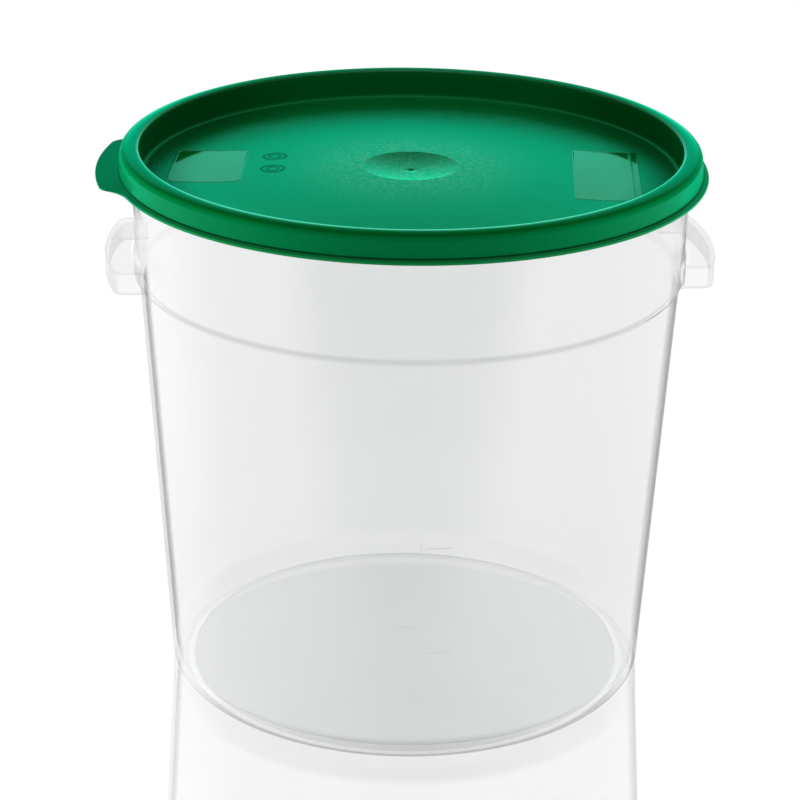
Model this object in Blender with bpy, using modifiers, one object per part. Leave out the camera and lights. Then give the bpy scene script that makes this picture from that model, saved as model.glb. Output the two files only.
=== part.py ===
"""Round food storage container: a clear moulded tub with two grips, and a press-on lid.

The tub stands on z = 0 with its axis along Z and its grips along X. The lid hangs over
the tub's rolled rim, plugs its mouth and carries a finger tab. Lengths are in metres.
"""

from math import acos, asin, atan, atan2, cos, pi, radians, sin, sqrt

import bmesh
import bpy

MM = 0.001

# Fit between the two pieces, and what every cut runs past the solid that it cuts
SEAT_GAP = 0.3 * MM
OVERRUN = 5.0 * MM
MERGE = 0.001 * MM
TURN_STEPS = 96
ARC_STEPS = 4
LONG_ARC_STEPS = 8

# Tub: a tapered wall, a ledge, a wider band above it, and a rolled rim
TUB_HEIGHT = 316.6 * MM
TUB_BASE_RADIUS = 139.3 * MM
TUB_LEDGE_HEIGHT = 246.5 * MM
TUB_LEDGE_RADIUS = 154.5 * MM
TUB_LEDGE_STEP = 1.8 * MM
TUB_LEDGE_DROP = 0.9 * MM
TUB_MOUTH_RADIUS = 157.8 * MM
TUB_WALL = 2.3 * MM
TUB_FLOOR = 3.0 * MM
TUB_CORNER = 12.0 * MM
FOOT_WIDTH = 4.0 * MM
FOOT_HEIGHT = 4.0 * MM
FOOT_DRAFT_SHARE = 0.2
LIP_REACH = 3.1 * MM
LIP_HEIGHT = 4.6 * MM
LIP_SLOPE = 1.2 * MM
LIP_ROUND = 0.9 * MM

# Grips: hollow shelves on the band, open underneath, as wide as four fingers
GRIP_REACH = 17.1 * MM
GRIP_LENGTH = 98.0 * MM
GRIP_HEIGHT = 13.2 * MM
GRIP_ABOVE_LEDGE = 0.5 * MM
GRIP_CORNER = 7.0 * MM
GRIP_FILLET = 4.0 * MM
GRIP_EDGE = 1.4 * MM
GRIP_WALL = 2.5 * MM
GRIP_ROOT = 0.9 * MM

# Lid: a recessed floor inside a raised rim, whose skirt snaps under the tub's lip
LID_TURN = radians(-3.0)
LID_WALL = 1.9 * MM
LID_PLUG_GAP = 0.55 * MM
LID_RECESS_DEPTH = 17.5 * MM
LID_SKIRT_DEPTH = 15.5 * MM
LID_DRAFT_SHARE = 0.03
LID_RIM_FALL = 0.8 * MM
LID_TOP_ROUND = 2.5 * MM
LID_INNER_ROUND = 1.2 * MM
LID_RECESS_ROUND = 3.0 * MM
BRIM_REACH = 3.1 * MM
BRIM_THICKNESS = 1.7 * MM
BRIM_SLOPE = 0.8 * MM
BRIM_ROUND = 0.5 * MM
SNAP_HEIGHT = 1.4 * MM
SNAP_REACH = 0.9 * MM
DOME_RADIUS = 115.0 * MM
DOME_HEIGHT = 3.6 * MM
DOME_STEPS = 3
DISH_RADIUS = 27.0 * MM
DISH_DEPTH = 2.8 * MM
DISH_STEPS = 3
GATE_RADIUS = 1.4 * MM
GATE_DEPTH = 0.4 * MM

# Pull tab: a flat tongue that widens out of the lid's brim
TAB_REACH = 10.0 * MM
TAB_LENGTH = 83.0 * MM
TAB_CORNER = 10.0 * MM
TAB_FILLET = 25.0 * MM
TAB_THICKNESS = 1.3 * MM
TAB_INSET = 0.2 * MM


def clear_scene():
    for item in list(bpy.data.objects):
        bpy.data.objects.remove(item, do_unlink=True)


def collection(name):
    group = bpy.data.collections.new(name)
    bpy.context.scene.collection.children.link(group)
    return group


def plastic(name, colour, roughness, alpha=1.0):
    material = bpy.data.materials.new(name)
    material.use_nodes = True
    material.diffuse_color = (*colour, alpha)
    shader = material.node_tree.nodes["Principled BSDF"]
    shader.inputs["Base Color"].default_value = (*colour, 1.0)
    shader.inputs["Roughness"].default_value = roughness
    shader.inputs["Metallic"].default_value = 0.0
    shader.inputs["Alpha"].default_value = alpha
    return material


def arc(centre, radius, start, end, steps=ARC_STEPS):
    """Points round a centre, from one angle to another, both ends included."""
    turns = [start + (end - start) * step / steps for step in range(steps + 1)]
    return [(centre[0] + radius * cos(a), centre[1] + radius * sin(a)) for a in turns]


def turned(name, profile, group):
    """A profile of (radius, height) points swept once round Z by a Screw modifier."""
    mesh = bpy.data.meshes.new(name)
    points = [(radius, 0.0, height) for radius, height in profile]
    mesh.from_pydata(points, [(i, i + 1) for i in range(len(points) - 1)], [])
    item = bpy.data.objects.new(name, mesh)
    group.objects.link(item)
    screw = item.modifiers.new("turn", "SCREW")
    screw.axis = "Z"
    screw.angle = 2 * pi
    screw.steps = TURN_STEPS
    screw.render_steps = TURN_STEPS
    screw.use_merge_vertices = True
    screw.merge_threshold = MERGE
    return item


def slab(name, outline, low, high, group):
    """A flat outline of (x, y) points extruded between two heights, as a welded mesh."""
    curve = bpy.data.curves.new(name, "CURVE")
    curve.dimensions = "2D"
    curve.fill_mode = "BOTH"
    curve.extrude = (high - low) / 2
    spline = curve.splines.new("POLY")
    spline.points.add(len(outline) - 1)
    for point, (x, y) in zip(spline.points, outline):
        point.co = (x, y, 0.0, 1.0)
    spline.use_cyclic_u = True
    drawn = bpy.data.objects.new(name + "_outline", curve)
    drawn.location.z = (high + low) / 2
    group.objects.link(drawn)
    bpy.context.view_layer.update()
    evaluated = drawn.evaluated_get(bpy.context.evaluated_depsgraph_get())
    mesh = bpy.data.meshes.new_from_object(evaluated)
    welded = bmesh.new()
    welded.from_mesh(mesh)
    bmesh.ops.remove_doubles(welded, verts=welded.verts, dist=MERGE)
    welded.to_mesh(mesh)
    welded.free()
    item = bpy.data.objects.new(name, mesh)
    item.matrix_world = drawn.matrix_world.copy()
    group.objects.link(item)
    bpy.data.objects.remove(drawn, do_unlink=True)
    return item


def as_cutter(item):
    item.hide_render = True
    item.display_type = "WIRE"
    return item


def combine(item, other, operation):
    boolean = item.modifiers.new(other.name, "BOOLEAN")
    boolean.operation = operation
    boolean.solver = "EXACT"
    boolean.object = other


def finish(item, material):
    item.data.materials.append(material)
    item.data.shade_smooth()
    item.data.set_sharp_from_angle(angle=radians(30.0))


def wall_radius(height):
    """Outer radius of the tub's tapered wall, below the ledge."""
    share = height / TUB_LEDGE_HEIGHT
    return TUB_BASE_RADIUS + (TUB_LEDGE_RADIUS - TUB_BASE_RADIUS) * share


def band_radius(height):
    """Outer radius of the wider band, from the ledge to the rim."""
    foot = TUB_LEDGE_RADIUS + TUB_LEDGE_STEP
    share = (height - TUB_LEDGE_HEIGHT) / (TUB_HEIGHT - TUB_LEDGE_HEIGHT)
    return foot + (TUB_MOUTH_RADIUS - foot) * share


def tub_side(inset, floor):
    """The wall's line from the ledge down round the bottom corner, moved in by inset."""
    corner = TUB_CORNER - inset
    corner_height = floor + corner
    centre = (wall_radius(corner_height) - inset - corner, corner_height)
    return [
        (band_radius(TUB_LEDGE_HEIGHT) - inset, TUB_LEDGE_HEIGHT),
        (wall_radius(TUB_LEDGE_HEIGHT) - inset, TUB_LEDGE_HEIGHT - TUB_LEDGE_DROP),
        *arc(centre, corner, 0.0, -pi / 2),
    ]


def make_tub(group, cutters):
    lip_radius = TUB_MOUTH_RADIUS + LIP_REACH
    lip_foot = TUB_HEIGHT - LIP_HEIGHT
    side = tub_side(0.0, 0.0)
    foot_inner = side[-1][0] - FOOT_WIDTH
    body = [
        (0.0, TUB_HEIGHT),
        *arc((lip_radius - LIP_ROUND, TUB_HEIGHT - LIP_ROUND), LIP_ROUND, pi / 2, 0.0, 2),
        (lip_radius, lip_foot),
        (band_radius(lip_foot - LIP_SLOPE), lip_foot - LIP_SLOPE),
        *side,
        (foot_inner, 0.0),
        (foot_inner - FOOT_DRAFT_SHARE * FOOT_HEIGHT, FOOT_HEIGHT),
        (0.0, FOOT_HEIGHT),
    ]
    tub = turned("tub", body, group)

    floor = FOOT_HEIGHT + TUB_FLOOR
    mouth = TUB_MOUTH_RADIUS - TUB_WALL
    hollow = [
        (0.0, TUB_HEIGHT + OVERRUN),
        (mouth + LIP_ROUND, TUB_HEIGHT + OVERRUN),
        (mouth + LIP_ROUND, TUB_HEIGHT),
        (mouth, TUB_HEIGHT - LIP_ROUND),
        *tub_side(TUB_WALL, floor),
        (0.0, floor),
    ]
    hollow = as_cutter(turned("tub_hollow", hollow, cutters))

    low, high = grip_levels()
    finger_holes = []
    for side_name, turn in (("left", pi), ("right", 0.0)):
        grip = as_cutter(slab("grip_" + side_name, grip_outline(), low, high, cutters))
        edge = grip.modifiers.new("edge", "BEVEL")
        edge.width = GRIP_EDGE
        edge.segments = 2
        edge.limit_method = "ANGLE"
        edge.angle_limit = radians(50.0)
        hole = slab("finger_hole_" + side_name, finger_outline(), low - OVERRUN, high - GRIP_WALL, cutters)
        as_cutter(hole)
        grip.rotation_euler.z = turn
        hole.rotation_euler.z = turn
        combine(tub, grip, "UNION")
        finger_holes.append(hole)
    combine(tub, hollow, "DIFFERENCE")
    for hole in finger_holes:
        combine(tub, hole, "DIFFERENCE")
    finish(tub, plastic("clear_plastic", (0.86, 0.88, 0.88), 0.12, 0.35))
    return tub


def rounded_shelf(reach, half_length, corner):
    """The far side of a shelf: square ends, round corners, and an arc about the axis."""
    centre_y = half_length - corner
    centre_x = sqrt((reach - corner) ** 2 - centre_y ** 2)
    lean = asin(centre_y / (reach - corner))
    return [
        *arc((centre_x, -centre_y), corner, -pi / 2, -lean),
        *arc((0.0, 0.0), reach, -lean, lean, LONG_ARC_STEPS)[1:-1],
        *arc((centre_x, centre_y), corner, lean, pi / 2),
    ]


def tongue(carrier, root, reach, half_length, corner, fillet):
    """A shelf that widens with hollow corners into the round carrier that it stands on."""
    centre_y = half_length + fillet
    centre_x = sqrt((carrier + fillet) ** 2 - centre_y ** 2)
    lean = asin(centre_y / (carrier + fillet))
    hollow_corner = arc((centre_x, centre_y), fillet, -pi / 2, lean - pi)
    return [
        *[(x, -y) for x, y in reversed(hollow_corner)],
        *rounded_shelf(reach, half_length, corner),
        *hollow_corner,
        *arc((0.0, 0.0), root, lean, -lean, LONG_ARC_STEPS),
    ]


def grip_levels():
    """Heights of a grip's underside and top, hung from the tub's ledge."""
    low = TUB_LEDGE_HEIGHT + GRIP_ABOVE_LEDGE
    return low, low + GRIP_HEIGHT


def grip_outline():
    """The grip seen from above, from inside the tub's wall out to its reach."""
    band = band_radius(grip_levels()[0])
    return tongue(band, band - TUB_WALL, band + GRIP_REACH, GRIP_LENGTH / 2, GRIP_CORNER, GRIP_FILLET)


def finger_outline():
    """The hollow under a grip: the same form, smaller by the grip's wall."""
    low, high = grip_levels()
    half = GRIP_LENGTH / 2 - GRIP_WALL
    root = band_radius(high) + GRIP_ROOT
    lean = asin(half / root)
    far_side = rounded_shelf(band_radius(low) + GRIP_REACH - GRIP_WALL, half, GRIP_CORNER - GRIP_WALL)
    return [*far_side, *arc((0.0, 0.0), root, lean, -lean, LONG_ARC_STEPS)]


def lid_levels():
    """Heights of the lid's faces, all hung from its seat on the tub's rim."""
    roof = TUB_HEIGHT + SEAT_GAP
    top = roof + LID_WALL + LID_RIM_FALL / 2
    return roof, top, top - LID_RECESS_DEPTH, top - LID_SKIRT_DEPTH


def brim_height():
    """Height of the brim's top where it leaves the skirt."""
    return lid_levels()[3] + BRIM_THICKNESS + BRIM_SLOPE


def crown(radius):
    """How far the lid's floor stands over its flat part: a low dome with a dish in it."""
    dome = DOME_HEIGHT * (1 - (max(radius, DISH_RADIUS) / DOME_RADIUS) ** 2)
    return dome - DISH_DEPTH * (1 - (min(radius, DISH_RADIUS) / DISH_RADIUS) ** 2)


def crowned(level):
    """The crown's line over a level, from the edge of the gate mark out to the flat."""
    dish = [DISH_RADIUS * step / DISH_STEPS for step in range(1, DISH_STEPS + 1)]
    slope = (DOME_RADIUS - DISH_RADIUS) / DOME_STEPS
    radii = [GATE_RADIUS, *dish, *[DISH_RADIUS + slope * step for step in range(1, DOME_STEPS + 1)]]
    return [(radius, level + crown(radius)) for radius in radii]


def plug_radius(height):
    """Outer radius of the lid's plug: the tub's inner wall, less the gap that lets it in."""
    return band_radius(height) - TUB_WALL - LID_PLUG_GAP


def snap_radius(hem):
    """Inner radius of the snap bead, clear of the tub's lip and of its band by the hem."""
    return max(TUB_MOUTH_RADIUS + LIP_REACH, band_radius(hem)) + SEAT_GAP


def make_lid(group, cutters):
    roof, top, floor, hem = lid_levels()
    underside = floor - LID_WALL
    rise = LID_RECESS_ROUND
    plug = plug_radius(roof)
    plug_foot = plug_radius(underside + rise)
    recess = plug - LID_WALL
    recess_foot = plug_radius(floor + rise) - LID_WALL
    snap = snap_radius(hem)
    snap_height = TUB_HEIGHT - LIP_HEIGHT - LIP_SLOPE - SNAP_HEIGHT
    skirt_inner = snap + SNAP_REACH
    rim = skirt_inner + LID_WALL
    skirt_foot = rim + LID_DRAFT_SHARE * LID_SKIRT_DEPTH
    brim_edge = skirt_foot + BRIM_REACH
    outer_round = LID_TOP_ROUND
    inner_edge = recess + outer_round
    outer_edge = rim - outer_round
    lean = pi / 2 + atan(LID_RIM_FALL / (outer_edge - inner_edge))
    gate = floor + crown(0.0) - GATE_DEPTH
    body = [
        (0.0, gate),
        (GATE_RADIUS, gate),
        *crowned(floor),
        *arc((recess_foot - rise, floor + rise), rise, -pi / 2, 0.0),
        *arc((inner_edge, top - LID_RIM_FALL - outer_round), outer_round, pi, lean),
        *arc((outer_edge, top - outer_round), outer_round, lean, 0.0),
        (skirt_foot, brim_height()),
        (brim_edge - BRIM_ROUND, hem + BRIM_THICKNESS),
        (brim_edge, hem + BRIM_THICKNESS - BRIM_ROUND),
        (brim_edge, hem + BRIM_ROUND),
        (brim_edge - BRIM_ROUND, hem),
        (skirt_inner + BRIM_ROUND, hem),
        (skirt_inner, hem + BRIM_ROUND),
        (skirt_inner, snap_height - SNAP_HEIGHT),
        (snap, snap_height),
        (skirt_inner, snap_height + SNAP_HEIGHT),
        (skirt_inner, roof - LID_INNER_ROUND),
        (skirt_inner - LID_INNER_ROUND, roof),
        (plug + LID_INNER_ROUND, roof),
        (plug, roof - LID_INNER_ROUND),
        *arc((plug_foot - rise, underside + rise), rise, 0.0, -pi / 2),
        *reversed(crowned(underside)),
        (0.0, underside + crown(0.0)),
    ]
    lid = turned("lid", body, group)
    low = hem + TAB_INSET
    tab = as_cutter(slab("pull_tab", tab_outline(skirt_foot), low, low + TAB_THICKNESS, cutters))
    combine(lid, tab, "UNION")
    tab.parent = lid
    lid.rotation_euler.z = LID_TURN
    finish(lid, plastic("green_plastic", (0.004, 0.31, 0.15), 0.4))
    return lid


def tab_outline(skirt_foot):
    """The tab seen from above: from each corner of it a long curve runs into the brim."""
    brim_edge = skirt_foot + BRIM_REACH
    reach = brim_edge + TAB_REACH
    corner_arm = reach - TAB_CORNER
    fillet_arm = brim_edge + TAB_FILLET
    span = TAB_CORNER + TAB_FILLET
    lean = asin(TAB_LENGTH / 2 / reach)
    end = lean + acos((corner_arm ** 2 + fillet_arm ** 2 - span ** 2) / (2 * corner_arm * fillet_arm))
    corner = (corner_arm * cos(lean), corner_arm * sin(lean))
    fillet = (fillet_arm * cos(end), fillet_arm * sin(end))
    bend = atan2(fillet[1] - corner[1], fillet[0] - corner[0])
    half = [
        *arc((0.0, 0.0), reach, 0.0, lean),
        *arc(corner, TAB_CORNER, lean, bend)[1:],
        *arc(fillet, TAB_FILLET, bend - pi, end - pi)[1:],
    ]
    outline = [*[(x, -y) for x, y in reversed(half)], *half[1:]]
    outline += arc((0.0, 0.0), skirt_foot - LID_WALL / 2, end, -end, LONG_ARC_STEPS)
    return [(-x, -y) for x, y in outline]


clear_scene()
container = collection("round_storage_container")
cutting_tools = collection("cutters")
make_tub(container, cutting_tools)
make_lid(container, cutting_tools)
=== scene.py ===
from functools import reduce
from math import acos, asin, atan2, ceil, cos, hypot, pi, radians, sin, sqrt, tan

import bmesh
import bpy
from mathutils import Matrix, Vector


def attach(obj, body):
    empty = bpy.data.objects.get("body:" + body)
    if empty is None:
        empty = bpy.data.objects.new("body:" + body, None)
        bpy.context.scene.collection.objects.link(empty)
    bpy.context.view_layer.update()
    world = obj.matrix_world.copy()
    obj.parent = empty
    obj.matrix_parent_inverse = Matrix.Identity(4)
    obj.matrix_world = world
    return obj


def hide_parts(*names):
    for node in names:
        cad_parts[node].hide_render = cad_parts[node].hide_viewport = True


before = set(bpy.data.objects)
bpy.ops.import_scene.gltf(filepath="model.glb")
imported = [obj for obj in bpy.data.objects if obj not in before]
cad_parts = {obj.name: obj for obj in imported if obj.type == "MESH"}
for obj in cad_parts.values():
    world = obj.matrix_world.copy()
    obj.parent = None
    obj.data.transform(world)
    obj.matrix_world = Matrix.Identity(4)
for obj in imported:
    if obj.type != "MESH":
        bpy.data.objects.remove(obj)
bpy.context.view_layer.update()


# Tub: one thin clear injection moulding. A tapered wall rises to a ledge, a wider band
# and a rolled rim. The two grips are hollow shelves of the band, open underneath, and
# a standing ring keeps the floor off the table.
MM = 0.001
TUB_HEIGHT = 316.6 * MM
TUB_BASE_RADIUS = 139.3 * MM
TUB_LEDGE_HEIGHT = 246.5 * MM
TUB_LEDGE_RADIUS = 154.5 * MM
TUB_LEDGE_STEP = 1.8 * MM
TUB_LEDGE_DROP = 2.4 * MM
TUB_MOUTH_RADIUS = 157.8 * MM
TUB_WALL = 2.3 * MM
TUB_FLOOR = 3.0 * MM
TUB_CORNER = 9.0 * MM
WALL_SLOPE = (TUB_LEDGE_RADIUS - TUB_BASE_RADIUS) / TUB_LEDGE_HEIGHT
WALL_ROWS = (60 * MM, 120 * MM, 180 * MM)
FOOT_WIDTH = 4.0 * MM
FOOT_HEIGHT = 4.0 * MM
FLOOR_LEVEL = FOOT_HEIGHT + TUB_FLOOR
LIP_REACH = 3.1 * MM
LIP_HEIGHT = 4.6 * MM
LIP_SLOPE = 1.2 * MM
LIP_FOOT = TUB_HEIGHT - LIP_HEIGHT
GRIP_REACH = 17.1 * MM
GRIP_HALF = 49.0 * MM
GRIP_LOW = 247.0 * MM
GRIP_HIGH = 260.2 * MM
GRIP_CORNER = 7.0 * MM
GRIP_FILLET = 4.0 * MM
GRIP_EDGE = 1.4 * MM
GRIP_LOWER_EDGE = 0.35 * MM
GRIP_ROOT_ROUND = 1.2 * MM
GRIP_WALL = 2.5 * MM
FINGER_ROOT = 0.9 * MM
COLUMN_STEP = radians(1.5)
ROUND_STEP = radians(15.0)
SHARP_EDGE = radians(35.0)


def arc(centre, radius, start, end, steps):
    """Points round a centre, from one angle to another, both ends included."""
    turns = [start + (end - start) * step / steps for step in range(steps + 1)]
    return [(centre[0] + radius * cos(a), centre[1] + radius * sin(a)) for a in turns]


def rounded(corners):
    """A line through (radius, height, round) corners, each turned by an arc of that round."""
    line = [corners[0][:2]]
    for before, corner, after in zip(corners, corners[1:], corners[2:]):
        here = Vector(corner[:2])
        back = (Vector(before[:2]) - here).normalized()
        on = (Vector(after[:2]) - here).normalized()
        turn = pi - back.angle(on)
        if not corner[2] or turn < radians(1.0):
            line.append(tuple(here))
            continue
        centre = here + (back + on).normalized() * corner[2] / cos(turn / 2)
        reach = corner[2] * tan(turn / 2)
        start, end = here + back * reach - centre, here + on * reach - centre
        steps = max(2, ceil(turn / ROUND_STEP))
        first = atan2(start.y, start.x)
        swing = start.angle_signed(end)
        line += [tuple(centre + Vector((cos(a), sin(a))) * corner[2])
                 for a in (first - swing * step / steps for step in range(steps + 1))]
    return [*line, corners[-1][:2]]


def plan(halves, carrier):
    """Columns of (azimuth, reach) round Z: shelves by their half outlines, plain between."""
    columns = []
    for number, (heading, half) in enumerate(halves):
        polar = [(atan2(y, x), hypot(x, y)) for x, y in half]
        columns += [(heading - turn, reach) for turn, reach in reversed(polar)]
        columns += [(heading + turn, reach) for turn, reach in polar[1:]]
        next_heading, next_half = halves[(number + 1) % len(halves)]
        start = heading + polar[-1][0]
        end = next_heading - atan2(next_half[-1][1], next_half[-1][0])
        end += 2 * pi * ceil((start - end) / (2 * pi))
        count = round((end - start) / COLUMN_STEP)
        columns += [(start + (end - start) * step / count, carrier) for step in range(1, count)]
    return columns


def placed(name, form):
    """An object of a bmesh's form, which is used up."""
    mesh = bpy.data.meshes.new(name)
    form.to_mesh(mesh)
    form.free()
    item = bpy.data.objects.new(name, mesh)
    bpy.context.scene.collection.objects.link(item)
    return item


def swept(name, columns, rows):
    """A closed skin round Z from rows of (radius, height), one for each column."""
    skin = bmesh.new()
    grid = []
    for row in rows:
        row = row if isinstance(row, list) else [row] * len(columns)
        grid.append([skin.verts.new((r * cos(turn), r * sin(turn), z))
                     for (turn, _), (r, z) in zip(columns, row)])
    for low, high in zip(grid, grid[1:]):
        for here in range(len(columns)):
            there = (here + 1) % len(columns)
            skin.faces.new((low[here], low[there], high[there], high[here]))
    bmesh.ops.remove_doubles(skin, verts=skin.verts, dist=0.001 * MM)
    bmesh.ops.dissolve_degenerate(skin, dist=0.0005 * MM, edges=skin.edges)
    return placed(name, skin)


def made_real(item):
    """The plain mesh that an object's modifiers give, which are then taken off it."""
    bpy.context.view_layer.update()
    mesh = bpy.data.meshes.new_from_object(item.evaluated_get(bpy.context.evaluated_depsgraph_get()))
    item.modifiers.clear()
    return mesh


def settle(item, material):
    """Gives an object its material and smooth shading that stays crisp at its edges."""
    item.data.materials.append(material)
    item.data.shade_smooth()
    item.data.set_sharp_from_angle(angle=SHARP_EDGE)
    even = item.modifiers.new("even_shading", "WEIGHTED_NORMAL")
    even.keep_sharp = True
    item.data = made_real(item)


def wall_radius(height):
    return TUB_BASE_RADIUS + WALL_SLOPE * height


def band_radius(height):
    foot = TUB_LEDGE_RADIUS + TUB_LEDGE_STEP
    share = (height - TUB_LEDGE_HEIGHT) / (TUB_HEIGHT - TUB_LEDGE_HEIGHT)
    return foot + (TUB_MOUTH_RADIUS - foot) * share


def shelf_corner(reach, half, corner):
    """Where a shelf's round corner has its centre, and its bearing from the axis."""
    centre_y = half - corner
    return (sqrt((reach - corner) ** 2 - centre_y ** 2), centre_y), asin(centre_y / (reach - corner))


def grip_half():
    """Half of a grip seen from above, from its middle to where it runs into the band."""
    carrier = band_radius(GRIP_LOW)
    corner, lean = shelf_corner(carrier + GRIP_REACH, GRIP_HALF, GRIP_CORNER)
    root_y = GRIP_HALF + GRIP_FILLET
    root = (sqrt((carrier + GRIP_FILLET) ** 2 - root_y ** 2), root_y)
    root_lean = asin(root_y / (carrier + GRIP_FILLET))
    return [
        *arc((0.0, 0.0), carrier + GRIP_REACH, 0.0, lean, 10),
        *arc(corner, GRIP_CORNER, lean, pi / 2, 8)[1:],
        *arc(root, GRIP_FILLET, -pi / 2, root_lean - pi, 6),
    ]


def grip_rows(columns):
    """Rows that go out under the grips, up their face and back over their top."""
    quarter = [pi / 2 * step / 5 for step in range(6)]
    edge = [(GRIP_EDGE * (1 - cos(a)), GRIP_HIGH - GRIP_EDGE * (1 - sin(a))) for a in quarter]
    root = [(GRIP_ROOT_ROUND * (1 - sin(a)), GRIP_HIGH + GRIP_ROOT_ROUND * (1 - cos(a))) for a in quarter]
    under = GRIP_LOWER_EDGE
    face = [(under, GRIP_LOW), (under / 4, GRIP_LOW + under / 4), (0.0, GRIP_LOW + under)]
    face += [(0.0, GRIP_LOW + 3 * MM), (0.0, GRIP_LOW + 7 * MM), *edge]
    rows = [[(band_radius(GRIP_LOW), GRIP_LOW)] * len(columns)]
    shares = [min(1.0, max(0.0, reach - band_radius(GRIP_HIGH)) / (GRIP_EDGE + GRIP_ROOT_ROUND))
              for _, reach in columns]
    for back, height in face:
        rows.append([(max(reach - back * share, band_radius(height)), height)
                     for (_, reach), share in zip(columns, shares)])
    for out, height in root:
        rows.append([(band_radius(height) + out * share, height) for share in shares])
    return rows


def finger_hollow(name, heading):
    """What a finger takes out of a grip from below: the grip's form, less its wall."""
    half = GRIP_HALF - GRIP_WALL
    near = band_radius(GRIP_HIGH) + FINGER_ROOT
    reach = band_radius(GRIP_LOW) + GRIP_REACH - GRIP_WALL
    corner, lean = shelf_corner(reach, half, GRIP_CORNER - GRIP_WALL)
    side = arc((0.0, 0.0), reach, 0.0, lean, 10)
    side += arc(corner, GRIP_CORNER - GRIP_WALL, lean, pi / 2, 6)[1:]
    side += arc((0.0, 0.0), near, asin(half / near), 0.0, 10)
    outline = [*side[:-1], *[(x, -y) for x, y in reversed(side[1:])]]
    low, high = GRIP_LOW - 4 * MM, GRIP_HIGH - GRIP_WALL
    block = bmesh.new()
    turn = Matrix.Rotation(heading, 4, "Z")
    foot = block.faces.new([block.verts.new(turn @ Vector((x, y, low))) for x, y in outline])
    raised = bmesh.ops.extrude_face_region(block, geom=[foot])["geom"]
    raised = [item for item in raised if isinstance(item, bmesh.types.BMVert)]
    bmesh.ops.translate(block, verts=raised, vec=(0.0, 0.0, high - low))
    bmesh.ops.recalc_face_normals(block, faces=block.faces)
    return placed(name, block)


def tub_side(inset, floor):
    """The wall's line from the floor's corner up to well under the ledge, moved in by inset."""
    corner = TUB_CORNER - inset
    middle = (wall_radius(floor + corner) - inset - corner, floor + corner)
    return [*arc(middle, corner, -pi / 2, 0.0, 10), *[(wall_radius(z) - inset, z) for z in WALL_ROWS]]


FOOT_OUTER = tub_side(0.0, 0.0)[0][0]


def tub_rows(columns):
    """The tub's rows from the middle of its underside out, up, over the rim and back in."""
    foot_inner = FOOT_OUTER - FOOT_WIDTH
    ledge = [(wall_radius(TUB_LEDGE_HEIGHT), TUB_LEDGE_HEIGHT - TUB_LEDGE_DROP),
             (band_radius(TUB_LEDGE_HEIGHT), TUB_LEDGE_HEIGHT)]
    outside = rounded([
        (0.0, FOOT_HEIGHT, 0.0), (60 * MM, FOOT_HEIGHT, 0.0), (100 * MM, FOOT_HEIGHT, 0.0),
        (foot_inner - 0.8 * MM, FOOT_HEIGHT, 1.0 * MM), (foot_inner, 0.0, 0.6 * MM), (FOOT_OUTER, 0.0, 0.0),
    ])
    outside += tub_side(0.0, 0.0)[1:]
    outside += rounded([
        (wall_radius(230 * MM), 230 * MM, 0.0), (*ledge[0], 3.0 * MM), (*ledge[1], 1.0 * MM),
        (band_radius(GRIP_LOW), GRIP_LOW - 0.1 * MM, 0.0),
    ])
    lip, mouth = TUB_MOUTH_RADIUS + LIP_REACH, TUB_MOUTH_RADIUS - TUB_WALL
    upper = rounded([
        (band_radius(270 * MM), 270 * MM, 0.0), (band_radius(290 * MM), 290 * MM, 0.0),
        (band_radius(LIP_FOOT - LIP_SLOPE), LIP_FOOT - LIP_SLOPE, 0.8 * MM),
        (lip, LIP_FOOT, 0.8 * MM), (lip, TUB_HEIGHT, 1.2 * MM), (mouth, TUB_HEIGHT, 0.9 * MM),
        (band_radius(285 * MM) - TUB_WALL, 285 * MM, 0.0),
        (ledge[1][0] - TUB_WALL, ledge[1][1], 1.6 * MM), (ledge[0][0] - TUB_WALL, ledge[0][1], 0.4 * MM),
        *[(r, z, 0.0) for r, z in reversed(tub_side(TUB_WALL, FLOOR_LEVEL))],
        (100 * MM, FLOOR_LEVEL, 0.0), (50 * MM, FLOOR_LEVEL, 0.0), (0.0, FLOOR_LEVEL, 0.0),
    ])
    return [*outside, *grip_rows(columns), *upper]


def hollow_out(item, name, heading):
    """Takes one finger hollow out of the tub for good."""
    hollow = finger_hollow(name, heading)
    cut = item.modifiers.new(name, "BOOLEAN")
    cut.operation, cut.solver, cut.object = "DIFFERENCE", "EXACT", hollow
    item.data = made_real(item)
    bpy.data.objects.remove(hollow)


tub_columns = plan([(0.0, grip_half()), (pi, grip_half())], band_radius(GRIP_LOW))
tub = swept("tub_body", tub_columns, tub_rows(tub_columns))
hollow_out(tub, "finger_hollow_right", 0.0)
hollow_out(tub, "finger_hollow_left", pi)


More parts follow.
